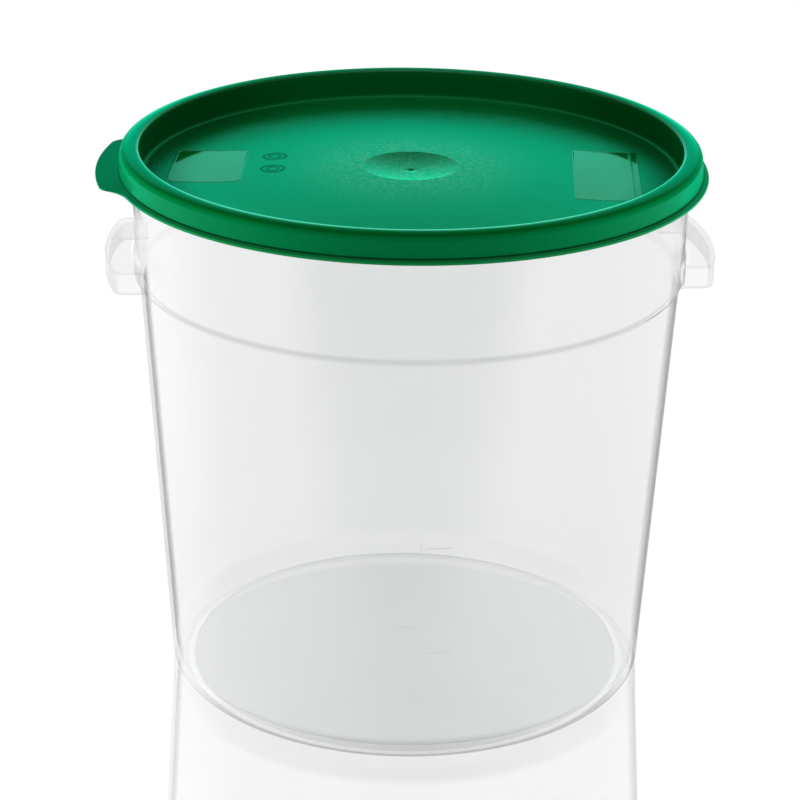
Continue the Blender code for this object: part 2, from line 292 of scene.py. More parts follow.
class Sum:
    """A number in a material, so that what is worked out there reads as a plain sum."""

    def __init__(self, finish, socket):
        self.finish, self.socket = finish, socket

    def with_(self, operation, *others):
        values = dict(enumerate([self, *others]))
        return self.finish.node("ShaderNodeMath", values, operation=operation).sum()

    def turned_round(self, operation, other):
        return self.finish.node("ShaderNodeMath", {0: other, 1: self}, operation=operation).sum()

    def __add__(self, other):
        return self.with_("ADD", other)

    def __sub__(self, other):
        return self.with_("SUBTRACT", other)

    def __rsub__(self, other):
        return self.turned_round("SUBTRACT", other)

    def __mul__(self, other):
        return self.with_("MULTIPLY", other)

    def __truediv__(self, other):
        return self.with_("DIVIDE", other)

    def __rtruediv__(self, other):
        return self.turned_round("DIVIDE", other)

    __radd__ = __add__
    __rmul__ = __mul__

    def absolute(self):
        return self.with_("ABSOLUTE")

    def least(self, other):
        return self.with_("MINIMUM", other)

    def most(self, other):
        return self.with_("MAXIMUM", other)

    def rise(self, low, high):
        """0 below low, 1 above high and a smooth step between; low over high falls."""
        sockets = {"Value": self, "From Min": low, "From Max": high}
        if low > high:
            sockets = {"Value": self, "From Min": high, "From Max": low, "To Min": 1.0, "To Max": 0.0}
        return self.finish.node("ShaderNodeMapRange", sockets, interpolation_type="SMOOTHSTEP").sum("Result")

    def within(self, low, full, still_full, high):
        """0 outside low and high, 1 from full to still_full and smooth steps between."""
        return self.rise(low, full) * self.rise(high, still_full)


class Made:
    """A node of a finish, with its outputs at hand as sums or as sockets."""

    def __init__(self, finish, made):
        self.finish, self.made = finish, made

    def sum(self, output=0):
        return Sum(self.finish, self.made.outputs[output])

    def socket(self, output=0):
        return self.made.outputs[output]


class Finish:
    """A node tree being filled: a material's, the world's or a modifier's."""

    def __init__(self, tree):
        self.tree = tree
        tree.nodes.clear()

    def node(self, kind, sockets=None, **settings):
        """Any node: its settings first, then the values or links of its sockets."""
        made = self.tree.nodes.new(kind)
        for name, value in settings.items():
            setattr(made, name, value)
        for key, value in (sockets or {}).items():
            value = value.socket if isinstance(value, Sum) else value
            if isinstance(value, bpy.types.NodeSocket):
                self.tree.links.new(value, made.inputs[key])
            else:
                made.inputs[key].default_value = value
        return Made(self, made)

    def mix(self, share, first, second):
        """Two colours mixed by a share."""
        return self.node("ShaderNodeMix", {"Factor": share, 6: first, 7: second}, data_type="RGBA").socket(2)

    def blend(self, share, first, second):
        """Two shaders mixed by a share."""
        return self.node("ShaderNodeMixShader", {0: share, 1: first.socket(), 2: second.socket()})

    def apart(self, vector):
        """The three numbers of a vector."""
        parts = self.node("ShaderNodeSeparateXYZ", {0: vector})
        return parts.sum("X"), parts.sum("Y"), parts.sum("Z")

    def together(self, x=0.0, y=0.0, z=0.0):
        """A vector from its three numbers."""
        return self.node("ShaderNodeCombineXYZ", {0: x, 1: y, 2: z}).socket()

    def length(self, x, y):
        """The length of the way (x, y)."""
        return self.node("ShaderNodeVectorMath", {0: self.together(x, y)}, operation="LENGTH").sum("Value")


def material_tree(name):
    """A new material and its empty tree."""
    material = bpy.data.materials.new(name)
    material.use_nodes = True
    return material, Finish(material.node_tree)


def grey(tone, cool=0.004):
    """A grey with slightly less red in it, as clear plastic tints what is behind it."""
    return (tone, tone + cool, tone + cool, 1.0)


# The tub's plastic. Each tint is what one skin of it lets through, and most of it is painted
# light and shade: lighter towards the limbs, the left limb lit lighter and the right shaded
# darker, painted shade in the foot's corner, a painted shadow over the floor and painted shade
# lines. A pair is for the tub's middle, from front to rear, and for its left and right sides.
TINT_SQUARE_ON = grey(0.86, 0.005)
TINT_NEARLY_SQUARE_ON = grey(0.918, 0.003)
LEFT_LIMB_PAINTED_LIGHT = grey(0.975, 0.001)
RIGHT_LIMB_PAINTED_SHADE = grey(0.925, 0.003)
TINT_LOW = grey(0.80)
TINT_GRIP_FLAT = grey(0.87, 0.003)
TINT_GRIP_FACE = grey(0.93, 0.002)
CORNER_PAINTED_SHADE_OUTSIDE = (grey(0.50, 0.003), grey(0.68))
CORNER_PAINTED_SHADE_INSIDE = (grey(0.80), grey(0.88))
CORNER_PAINTED_SHADE_REAR = grey(0.865, 0.003)
FLOOR_PAINTED_SHADOWS = (grey(0.835), grey(0.88))
LINE_PAINTED_SHADE = grey(0.6, 0.005)
TINT_FOR_LAMPS = grey(0.95, 0.005)
CLEAR_GLOSS = grey(0.97, 0.0)
EDGE_ON_PAINTED_SHADE = grey(0.10, 0.005)
STRAIGHT_THROUGH = 1.001


class TubPlaces:
    """Where a point lies on the tub: measures and masks for its plastic."""

    def __init__(self, clear):
        self.x, self.y, self.level = clear.apart(clear.node("ShaderNodeTexCoord").socket("Object"))
        self.away = clear.length(self.x, self.y)
        self.facing = clear.node("ShaderNodeLayerWeight", {"Blend": 0.5}).sum("Facing")
        normal_z = clear.apart(clear.node("ShaderNodeNewGeometry").socket("Normal"))[2]
        self.upright = normal_z.absolute().rise(0.4, 0.2)
        outer = self.level * WALL_SLOPE + TUB_BASE_RADIUS
        outer = outer + self.level.rise(TUB_LEDGE_HEIGHT - 1 * MM, TUB_LEDGE_HEIGHT) * TUB_LEDGE_STEP
        self.inner_skin = (outer - self.away).rise(0.9 * MM, 1.6 * MM)
        self.on_grip = (self.away - outer).rise(1.0 * MM, 2.5 * MM)


def tub_shade_lines(at):
    """Painted shade as thin darker lines: along the ledge, stronger at the front, along the foot at the
    front for its contact shadow, and along the grips' edges.
    """
    ledge = at.level.within(TUB_LEDGE_HEIGHT - 4 * MM, TUB_LEDGE_HEIGHT - 1.5 * MM,
                            TUB_LEDGE_HEIGHT, TUB_LEDGE_HEIGHT + 2 * MM)
    ledge = ledge * (at.y.rise(40 * MM, -40 * MM) * 0.7 + 0.3) * (1.0 - at.on_grip) * 0.6
    foot = at.level.rise(6.5 * MM, 2.5 * MM) * at.away.rise(FOOT_OUTER - 3 * MM, FOOT_OUTER + 1 * MM)
    foot = foot * at.y.rise(-20 * MM, -110 * MM)
    grip_top = at.level.within(GRIP_HIGH - 2.0 * MM, GRIP_HIGH - 1.2 * MM,
                               GRIP_HIGH - 0.2 * MM, GRIP_HIGH - 0.02 * MM)
    grip_foot = at.level.rise(GRIP_LOW + 1.1 * MM, GRIP_LOW + 0.5 * MM)
    return ledge.most(foot).most(grip_top.most(grip_foot) * at.on_grip * 0.35)


def tub_tint_with_painted_light(clear, at):
    """What one skin of the tub lets through, with painted light and shade, from the plain wall to its
    painted shade lines.
    """
    # Painted light: the left limb is lit lighter and the right limb shaded darker.
    limb = clear.mix(at.x.rise(-60 * MM, 100 * MM), LEFT_LIMB_PAINTED_LIGHT, RIGHT_LIMB_PAINTED_SHADE)
    # Painted light: a skin is lighter where it is seen towards edge on than square on.
    tint = clear.mix(at.facing.rise(0.08, 0.18), TINT_SQUARE_ON, TINT_NEARLY_SQUARE_ON)
    tint = clear.mix(at.facing.rise(0.2, 0.72), tint, limb)
    tint = clear.mix(at.level.rise(220 * MM, 40 * MM) * 0.15, tint, TINT_LOW)
    tint = clear.mix(at.on_grip, tint, clear.mix(at.upright, TINT_GRIP_FLAT, TINT_GRIP_FACE))
    to_side = at.x.absolute().rise(0.0, 110 * MM)
    # Painted shade: the foot's corner darkens, most on the outer skin in the middle, and also at the rear.
    corner = clear.mix(at.inner_skin, clear.mix(to_side, *CORNER_PAINTED_SHADE_OUTSIDE),
                       clear.mix(to_side, *CORNER_PAINTED_SHADE_INSIDE))
    corner = clear.mix(at.y.rise(-40 * MM, 30 * MM), corner, CORNER_PAINTED_SHADE_REAR)
    in_corner = at.level.rise(FLOOR_LEVEL + 9 * MM, FLOOR_LEVEL + 3 * MM)
    tint = clear.mix(in_corner * at.x.absolute().rise(128 * MM, 104 * MM), tint, corner)
    # Painted shadow: the tub's floor is darkened for the table's shadow under it.
    in_floor = at.level.rise(FLOOR_LEVEL + 4 * MM, FLOOR_LEVEL + 1 * MM)
    in_floor = in_floor * at.away.rise(FOOT_OUTER + 2 * MM, FOOT_OUTER - 2 * MM)
    tint = clear.mix(in_floor, tint, clear.mix(to_side, *FLOOR_PAINTED_SHADOWS))
    # Painted shade lines along the ledge, the foot and the grips' edges.
    return clear.mix(tub_shade_lines(at), tint, LINE_PAINTED_SHADE)


def tub_edge_shade(at):
    """The share of painted shade where the wall or a grip is seen edge on, stronger on the outer skin at the
    right.
    """
    to_right = at.x.rise(40 * MM, 120 * MM)
    near_ledge = at.level.within(TUB_LEDGE_HEIGHT - 6.5 * MM, TUB_LEDGE_HEIGHT - 3.5 * MM,
                                 TUB_LEDGE_HEIGHT + 2 * MM, TUB_LEDGE_HEIGHT + 4.5 * MM)
    behind_grip = at.level.within(GRIP_LOW - 7 * MM, GRIP_LOW - 4 * MM,
                                  GRIP_LOW + 33 * MM, GRIP_LOW + 41 * MM)
    behind_grip = behind_grip * at.y.absolute().rise(70 * MM, 55 * MM)
    inner = at.facing.rise(0.79, 0.92) * at.inner_skin * (1.0 - near_ledge.most(behind_grip))
    inner = inner * at.level.rise(9 * MM, 20 * MM) * (0.8 - to_right * 0.4)
    outer_right = at.facing.within(0.82, 0.86, 0.92, 0.95) * to_right * 0.6
    outer_left = at.facing.rise(0.80, 0.86) * (1.0 - to_right) * 0.16
    outer = (outer_right + outer_left) * (1.0 - at.inner_skin) * (1.0 - at.on_grip)
    return inner + outer + at.on_grip * at.upright * at.facing.rise(0.35, 0.6) * 0.08


def lit_through(finish, shader):
    """Ends a clear plastic's tree: lamps shine through it, and all else sees its shader."""
    by_lamps = finish.node("ShaderNodeLightPath").socket("Is Shadow Ray")
    passing = finish.node("ShaderNodeBsdfTransparent", {"Color": TINT_FOR_LAMPS})
    surface = finish.blend(by_lamps, shader, passing)
    finish.node("ShaderNodeOutputMaterial", {"Surface": surface.socket()})


def clear_moulded_plastic():
    """Clear plastic as a thin tinted sheet, with painted light and shade in its tints, a faint gloss and
    painted shade at its edges.
    """
    material, clear = material_tree("clear_moulded_plastic")
    at = TubPlaces(clear)
    sheet = clear.node("ShaderNodeBsdfPrincipled", {
        "Base Color": tub_tint_with_painted_light(clear, at), "Roughness": 0.0,
        "IOR": STRAIGHT_THROUGH, "Transmission Weight": 1.0})
    gloss = clear.node("ShaderNodeBsdfPrincipled", {
        "Base Color": CLEAR_GLOSS, "Metallic": 1.0, "Roughness": 0.08})
    # Painted shade: a dark grey laid where the plastic is seen edge on.
    edge_shade = clear.node("ShaderNodeBsdfPrincipled", {
        "Base Color": EDGE_ON_PAINTED_SHADE, "Roughness": 0.35, "Specular IOR Level": 0.2})
    mirrored = at.facing.with_("POWER", 5.0) * 0.4 + 0.02
    above_foot = at.level.rise(9 * MM, 18 * MM) * 0.85 + 0.15
    wall = clear.blend(mirrored * above_foot, sheet, gloss)
    lit_through(clear, clear.blend(tub_edge_shade(at), wall, edge_shade))
    return material


settle(tub, clear_moulded_plastic())
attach(tub, "tub")
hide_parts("tub")


# Graduation: fine raised bars on the tub's front, moulded with it, beside one upright
# line. They are laid out flat, one set to each side, and then wrapped round the wall.
MARK_ROUND = 0.22 * MM
MARK_SIDES = 8
MARK_HEADING = radians(-91.0)
# A set: its name, how many bars, the lowest one's height, the pitch, where they start and
# end across the front, and the points along each bar.
MARK_SETS = (
    ("right", 2, 70.5 * MM, 65 * MM, 3 * MM, 17 * MM, 8),
    ("left", 1, 87 * MM, 0.0, -14 * MM, -2 * MM, 8),
    ("upright", 28, 112 * MM, 1 * MM, -0.2 * MM, 0.2 * MM, 2),
)
MARK_INPUTS = (
    ("Count", "NodeSocketInt"), ("Low", "NodeSocketFloat"), ("Pitch", "NodeSocketFloat"),
    ("Start", "NodeSocketFloat"), ("End", "NodeSocketFloat"), ("Steps", "NodeSocketInt"),
)


def frosted_mark():
    """The bars' plastic: clear too, with just enough bend in it to show."""
    material, marked = material_tree("frosted_mark")
    mark = marked.node("ShaderNodeBsdfPrincipled", {
        "Base Color": grey(0.93, 0.005), "Roughness": 0.1, "Transmission Weight": 0.9, "IOR": 1.1})
    lit_through(marked, mark)
    return material


def wrapped_marks(material):
    """The node group that lays out a column of bars and wraps it round the wall."""
    tree = bpy.data.node_groups.new("wrapped_marks", "GeometryNodeTree")
    wrap = Finish(tree)
    for name, kind in MARK_INPUTS:
        tree.interface.new_socket(name, in_out="INPUT", socket_type=kind)
    tree.interface.new_socket("Geometry", in_out="OUTPUT", socket_type="NodeSocketGeometry")
    given = wrap.node("NodeGroupInput")
    rungs = wrap.node("GeometryNodeMeshLine", {
        "Count": given.socket("Count"), "Start Location": wrap.together(z=given.socket("Low")),
        "Offset": wrap.together(z=given.socket("Pitch"))})
    bar = wrap.node("GeometryNodeCurvePrimitiveLine", {
        "Start": wrap.together(given.socket("Start")), "End": wrap.together(given.socket("End"))})
    bar = wrap.node("GeometryNodeResampleCurve", {"Curve": bar.socket(), "Count": given.socket("Steps")})
    ring = wrap.node("GeometryNodeCurvePrimitiveCircle", {"Resolution": MARK_SIDES, "Radius": MARK_ROUND})
    bar = wrap.node("GeometryNodeCurveToMesh", {
        "Curve": bar.socket(), "Profile Curve": ring.socket("Curve"), "Fill Caps": True})
    bars = wrap.node("GeometryNodeInstanceOnPoints", {"Points": rungs.socket(), "Instance": bar.socket()})
    bars = wrap.node("GeometryNodeRealizeInstances", {"Geometry": bars.socket()})
    along, out, up = wrap.apart(wrap.node("GeometryNodeInputPosition").socket())
    radius = up * WALL_SLOPE + TUB_BASE_RADIUS
    turn = along / radius + MARK_HEADING
    radius = radius + out
    round_wall = wrap.together(radius * turn.with_("COSINE"), radius * turn.with_("SINE"), up)
    bars = wrap.node("GeometryNodeSetPosition", {"Geometry": bars.socket(), "Position": round_wall})
    bars = wrap.node("GeometryNodeSetMaterial", {"Geometry": bars.socket(), "Material": material})
    wrap.node("NodeGroupOutput", {"Geometry": bars.socket()})
    return tree


marks_plastic = frosted_mark()
mark_tree = wrapped_marks(marks_plastic)
mark_inputs = [item.identifier for item in mark_tree.interface.items_tree if item.in_out == "INPUT"]
graduation = placed("graduation", bmesh.new())
all_marks = bmesh.new()
for set_name, *values in MARK_SETS:
    laid = graduation.modifiers.new(set_name, "NODES")
    laid.node_group = mark_tree
    for identifier, value in zip(mark_inputs, values):
        laid[identifier] = value
    all_marks.from_mesh(made_real(graduation))
all_marks.to_mesh(graduation.data)
all_marks.free()
graduation.data.materials.append(marks_plastic)
graduation.data.shade_smooth()
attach(graduation, "tub")


# Lid: one moulding of green plastic with a fine spark-eroded grain. Its floor is sunk
# into a raised rim and rises again in a low dome with a dish, where the plastic was
# let in. The skirt snaps under the tub's lip, and the brim carries the pull tab.
LID_TURN = radians(-3.0)
SEAT_GAP = 0.3 * MM
LID_WALL = 1.9 * MM
LID_TOP = 319.2 * MM
LID_ROOF = TUB_HEIGHT + SEAT_GAP
RECESS_DEPTH = 17.5 * MM
RECESS_ROUND = 3.0 * MM
LID_FLOOR = LID_TOP - RECESS_DEPTH
LID_UNDER = LID_FLOOR - LID_WALL
SKIRT_HEIGHT = 15.5 * MM
SKIRT_SLOPE = 0.03
SKIRT_INNER = 162.1 * MM
LID_HEM = LID_TOP - SKIRT_HEIGHT
RIM_RADIUS = SKIRT_INNER + LID_WALL
SKIRT_FOOT = RIM_RADIUS + SKIRT_SLOPE * SKIRT_HEIGHT
PLUG_GAP = 0.55 * MM
SNAP_HEIGHT = 1.4 * MM
SNAP_REACH = 0.9 * MM
SNAP_BEAD = LIP_FOOT - LIP_SLOPE - SNAP_HEIGHT
BRIM_EDGE = SKIRT_FOOT + 3.1 * MM
BRIM_THICKNESS = 1.7 * MM
BRIM_SLOPE = 0.8 * MM
BRIM_ROUND = 0.15 * MM
DOME_RADIUS = 115.0 * MM
DOME_HEIGHT = 3.6 * MM
DISH_RADIUS = 27.0 * MM
DISH_DEPTH = 2.8 * MM
GATE_RADIUS = 1.4 * MM
GATE_DEPTH = 0.4 * MM
TAB_REACH = BRIM_EDGE + 10.0 * MM
TAB_WIDTH = 83.0 * MM
TAB_LEAN = asin(TAB_WIDTH / 2 / TAB_REACH)
TAB_CORNER = 10.0 * MM
TAB_FILLET = 25.0 * MM
TAB_LOW = LID_HEM + 0.2 * MM
TAB_HIGH = TAB_LOW + 1.3 * MM
TAB_EDGE = 0.5 * MM
TAB_START = 3.0 * MM

# The rim's crown from the outside in, as mm in from RIM_RADIUS and mm down from LID_TOP.
RIM_CROWN = (
    (0.2, 3.7), (0.6, 2.7), (1.3, 1.8), (2.2, 1.15), (3.2, 0.7), (4.2, 0.42), (5.4, 0.2),
    (6.8, 0.05), (8.0, 0.0), (9.0, 0.07), (9.9, 0.2), (10.5, 0.45), (10.8, 0.8),
)
# Where the floor's rows lie, as mm out from the axis. Those of the dome's foot also have
# mm over the flat floor, which the dome runs out into.
DISH_ROWS = (5, 10, 15, 20, 24, 26.4)
DOME_ROWS = range(30, 106, 5)
DOME_FOOT = (
    (108, 0.47), (111, 0.30), (114, 0.17), (117, 0.08),
    (120, 0.02), (124, 0.0), (132, 0.0), (142, 0.0),
)
# The brim's outer edge from below: how far it is set back, and its share of the thickness.
HEM_ROUND = (
    (TAB_EDGE, 0.0), (BRIM_ROUND, 0.1), (0.0, 0.35),
    (0.0, 0.65), (BRIM_ROUND, 0.9), (TAB_EDGE, 1.0),
)


def tab_half():
    """Half of the lid's edge at the tab, from the tab's middle to the plain brim."""
    corner_arm, fillet_arm = TAB_REACH - TAB_CORNER, BRIM_EDGE + TAB_FILLET
    span = TAB_CORNER + TAB_FILLET
    end = TAB_LEAN + acos((corner_arm ** 2 + fillet_arm ** 2 - span ** 2) / (2 * corner_arm * fillet_arm))
    corner = Vector((corner_arm * cos(TAB_LEAN), corner_arm * sin(TAB_LEAN)))
    fillet = Vector((fillet_arm * cos(end), fillet_arm * sin(end)))
    bend = atan2(*(fillet - corner).yx)
    return [
        *arc((0.0, 0.0), TAB_REACH, 0.0, TAB_LEAN, 10),
        *arc(corner, TAB_CORNER, TAB_LEAN, bend, 8)[1:],
        *arc(fillet, TAB_FILLET, bend - pi, end - pi, 10)[1:],
    ]


def crown(radius):
    """How far the lid's floor stands over its flat part: a low dome with a dish in it."""
    dome = DOME_HEIGHT * (1 - (min(DOME_RADIUS, max(radius, DISH_RADIUS)) / DOME_RADIUS) ** 2)
    return dome - DISH_DEPTH * (1 - (min(radius, DISH_RADIUS) / DISH_RADIUS) ** 2)


def crowned(level):
    """The crown's line over a level, from just off the gate mark to the flat floor."""
    dish = [GATE_RADIUS + 0.2 * MM, *[r * MM for r in DISH_ROWS]]
    brink = level + crown(DISH_RADIUS)
    return [
        *[(r, level + crown(r)) for r in dish],
        (DISH_RADIUS - 0.2 * MM, brink - 0.06 * MM), (DISH_RADIUS, brink - 0.02 * MM),
        (DISH_RADIUS + 0.25 * MM, brink - 0.01 * MM),
        *[(r * MM, level + crown(r * MM)) for r in DOME_ROWS],
        *[(r * MM, level + rise * MM) for r, rise in DOME_FOOT],
    ]


def plug_radius(height):
    return band_radius(height) - TUB_WALL - PLUG_GAP


INNER_EDGE = plug_radius(LID_ROOF) - LID_WALL


def lid_under():
    """The lid's lower line, from its middle out over the tub's lip and down to the hem."""
    return rounded([
        (0.0, LID_UNDER + crown(0.0), 0.0), *[(r, z, 0.0) for r, z in crowned(LID_UNDER)],
        (plug_radius(LID_UNDER + RECESS_ROUND), LID_UNDER, RECESS_ROUND),
        (plug_radius(LID_ROOF), LID_ROOF, 1.2 * MM), (SKIRT_INNER, LID_ROOF, 1.2 * MM),
        (SKIRT_INNER, SNAP_BEAD + SNAP_HEIGHT, 0.5 * MM), (SKIRT_INNER - SNAP_REACH, SNAP_BEAD, 0.5 * MM),
        (SKIRT_INNER, SNAP_BEAD - SNAP_HEIGHT, 0.5 * MM), (SKIRT_INNER, LID_HEM, 0.5 * MM),
        (BRIM_EDGE - 1.5 * MM, LID_HEM, 0.0),
    ])


def lid_over():
    """The lid's upper line, from the brim up the skirt, over the rim and in to the gate mark."""
    middle = LID_FLOOR + crown(0.0)
    return rounded([
        (BRIM_EDGE - 1.5 * MM, LID_HEM + BRIM_THICKNESS + 0.15 * MM, 0.0),
        (SKIRT_FOOT, LID_HEM + BRIM_THICKNESS + BRIM_SLOPE, 0.35 * MM),
        *[(RIM_RADIUS - back * MM, LID_TOP - drop * MM, 0.0) for back, drop in RIM_CROWN],
        (INNER_EDGE, LID_TOP - 1.5 * MM, 0.0),
        (plug_radius(LID_FLOOR + RECESS_ROUND) - LID_WALL, LID_FLOOR, RECESS_ROUND),
        *[(r, z, 0.0) for r, z in reversed(crowned(LID_FLOOR))],
        (GATE_RADIUS, middle - 0.1 * MM, 0.0), (GATE_RADIUS - 0.1 * MM, middle - GATE_DEPTH, 0.0),
        (0.0, middle - GATE_DEPTH, 0.0),
    ])


def hem_levels(reach):
    """The brim's lower and upper level, which turn into the tab's over its first stretch."""
    out = min(1.0, max(0.0, reach - BRIM_EDGE) / TAB_START)
    brim_top = LID_HEM + BRIM_THICKNESS
    return LID_HEM + (TAB_LOW - LID_HEM) * out, brim_top + (TAB_HIGH - brim_top) * out


def brim_rows(columns):
    """Rows round the hem, out along the brim and tab, and back over their top."""
    levels = [hem_levels(reach) for _, reach in columns]
    rows = []
    for back, share in HEM_ROUND:
        rows.append([(reach - back, low + (high - low) * share)
                     for (_, reach), (low, high) in zip(columns, levels)])
    rows.append([(min(reach - TAB_EDGE, BRIM_EDGE + 1.5 * MM), high)
                 for (_, reach), (_, high) in zip(columns, levels)])
    slope_foot = LID_HEM + BRIM_THICKNESS + 0.1 * MM
    rows.append([(min(reach - TAB_EDGE, BRIM_EDGE - 1.0 * MM), slope_foot) for _, reach in columns])
    return rows


lid_columns = plan([(pi + LID_TURN, tab_half())], BRIM_EDGE)
lid = swept("lid_moulding", lid_columns, [*lid_under(), *brim_rows(lid_columns), *lid_over()])

# The lid's plastic. A label is a polished field: its middle, half its size and its corner's
# round. The middles of the ring marks lie between the left label and the dish.
LABEL_TURN = radians(6.0)
LABELS = (
    (-114.9 * MM, 1.0 * MM, 20.4 * MM, 30.0 * MM, 5.0 * MM),
    (108.2 * MM, 0.0, 16.4 * MM, 46.0 * MM, 2.5 * MM),
    (127.2 * MM, 0.0, 1.5 * MM, 46.0 * MM, 0.5 * MM),
)
RING_MARKS = ((-78.6 * MM, 17.3 * MM), (-77.8 * MM, -6.7 * MM))
RING_RADIUS = 6.4 * MM
GRAIN_DEPTH = 0.075 * MM
RELIEF_DEPTH = 0.25 * MM
DYE = (0.0, 0.20, 0.032, 1.0)
SKIRT_PAINTED_SHEEN = (0.0, 0.21, 0.058, 1.0)
BRIM_PAINTED_HIGHLIGHT = (0.01, 0.27, 0.075, 1.0)
FILLET_PAINTED_HIGHLIGHT = (0.03, 0.36, 0.13, 1.0)
SHADE_AND_MARK_GREEN = (0.0, 0.02, 0.003, 1.0)
SHINE = (0.12, 1.0, 0.62, 1.0)
SHINE_RUBBED_AND_HIGHLIGHT = (0.36, 1.0, 0.74, 1.0)
SHINE_GRAZING = (0.18, 1.0, 0.78, 1.0)


class LidPlaces:
    """Where a point lies on the lid: measures and masks for its plastic."""

    def __init__(self, green):
        self.place = green.node("ShaderNodeTexCoord").socket("Object")
        turned = green.node("ShaderNodeMapping", {"Vector": self.place, "Rotation": (0.0, 0.0, LABEL_TURN)})
        self.across, self.along, self.level = green.apart(turned.socket())
        self.away = green.length(self.across, self.along)
        self.facing_up = green.apart(green.node("ShaderNodeNewGeometry").socket("Normal"))[2]
        self.near_front = self.along.rise(-60 * MM, -150 * MM)
        self.near_rear = self.along.rise(40 * MM, 140 * MM)
        self.sunk = self.level.rise(LID_TOP - 2.5 * MM, LID_TOP - 4 * MM)
        self.on_floor = self.level.rise(LID_FLOOR + 5.0 * MM, LID_FLOOR + 4.5 * MM)
        self.in_recess = self.away.within(140 * MM, 144 * MM, INNER_EDGE, INNER_EDGE + 0.2 * MM)
        self.on_fillet = self.in_recess * self.level.within(
            LID_FLOOR + 0.4 * MM, LID_FLOOR + 0.8 * MM, LID_FLOOR + 1.3 * MM, LID_FLOOR + 1.8 * MM)
        self.on_rim = self.level.rise(LID_TOP - 4.5 * MM, LID_TOP - 3.0 * MM) * self.away.rise(
            INNER_EDGE - 0.1 * MM, INNER_EDGE + 0.1 * MM)
        # Painted highlight: a bright line along the rim's inner edge, wider towards the front.
        self.inner_edge_highlight = self.on_rim * (self.away - self.near_front * (2.5 * MM)).rise(
            INNER_EDGE + 2.0 * MM, INNER_EDGE + 1.0 * MM)
        self.on_skirt = self.away.rise(RIM_RADIUS - 1.5 * MM, RIM_RADIUS - 0.5 * MM)


def outside_label(green, at, label):
    """How far a point lies outside a label's field, or inside it below zero."""
    x, y, half_x, half_y, corner = label
    past_x = (at.across - x).absolute() - (half_x - corner)
    past_y = (at.along - y).absolute() - (half_y - corner)
    return green.length(past_x.most(0.0), past_y.most(0.0)) - corner


def ring_mark(green, at, x, y):
    """A mask of two rings, one in the other, round a place on the lid's floor."""
    from_middle = green.length(at.across - x, at.along - y)
    outer = (from_middle - RING_RADIUS).absolute().rise(1.2 * MM, 0.5 * MM)
    return outer.most((from_middle - RING_RADIUS / 2).absolute().rise(1.1 * MM, 0.4 * MM))


def greatest(masks):
    """The greatest of several masks at each point."""
    return reduce(Sum.most, masks)


def noise(finish, place, scale, detail, roughness):
    """Fine random tones from 0 to 1."""
    sockets = {"Vector": place, "Scale": scale, "Detail": detail, "Roughness": roughness}
    return finish.node("ShaderNodeTexNoise", sockets).sum("Fac")


def lid_dye_and_painted_light(green, at, marks):
    """The plastic's own green with painted light: a painted sheen on the skirt, painted highlights
    on the brim and the fillet, and painted shade on the rim's crown, in the brim's crease and
    in the recess by its sides. The ring marks take the painted shade's near-black as their own.
    """
    # Painted shade: a dark line on the crown, the crease at the skirt's foot, the floor near the recess's
    # sides and those walls.
    rim_shade_line = at.on_rim * at.away.within(
        RIM_RADIUS - 4.0 * MM, RIM_RADIUS - 2.6 * MM, RIM_RADIUS - 2.4 * MM, RIM_RADIUS - 1.2 * MM)
    crease_shade = at.away.within(SKIRT_FOOT - 0.4 * MM, SKIRT_FOOT, SKIRT_FOOT + 0.4 * MM, SKIRT_FOOT + 0.9 * MM)
    crease_shade = crease_shade * at.level.within(
        LID_HEM + 1.2 * MM, LID_HEM + 1.6 * MM, LID_HEM + 2.6 * MM, LID_HEM + 3.4 * MM)
    floor_edge_shade = at.away.within(118 * MM, 148 * MM, INNER_EDGE, INNER_EDGE + 0.2 * MM)
    floor_edge_shade = floor_edge_shade * at.level.rise(LID_FLOOR + 2.5 * MM, LID_FLOOR + 1.5 * MM)
    floor_edge_shade = floor_edge_shade * at.across.absolute().rise(50 * MM, 135 * MM) * (1.0 - at.on_fillet) * 0.75
    side_wall_shade = at.in_recess * at.facing_up.rise(0.75, 0.45) * at.across.absolute().rise(60 * MM, 140 * MM)
    painted_shade_and_marks = greatest([rim_shade_line * 0.4, crease_shade, floor_edge_shade, marks * 0.6, side_wall_shade * 0.6])
    on_brim = at.away.within(
        SKIRT_FOOT + 0.7 * MM, SKIRT_FOOT + 1.2 * MM, BRIM_EDGE + 0.5 * MM, BRIM_EDGE + 1.5 * MM)
    # Painted sheen: a bluer green on the skirt stands for the side boxes' gloss.
    dye_and_painted_light = green.mix(at.on_skirt, DYE, SKIRT_PAINTED_SHEEN)
    # Painted highlight: the brim is lighter, except at the far left round the tab.
    dye_and_painted_light = green.mix(on_brim * at.across.rise(-150 * MM, -130 * MM), dye_and_painted_light, BRIM_PAINTED_HIGHLIGHT)
    # Painted highlight: a light line along the fillet at the foot of the recess wall.
    dye_and_painted_light = green.mix(at.on_fillet * 0.5, dye_and_painted_light, FILLET_PAINTED_HIGHLIGHT)
    # Painted shade and the ring marks share one near-black green.
    return green.mix(painted_shade_and_marks * 0.75, dye_and_painted_light, SHADE_AND_MARK_GREEN), painted_shade_and_marks


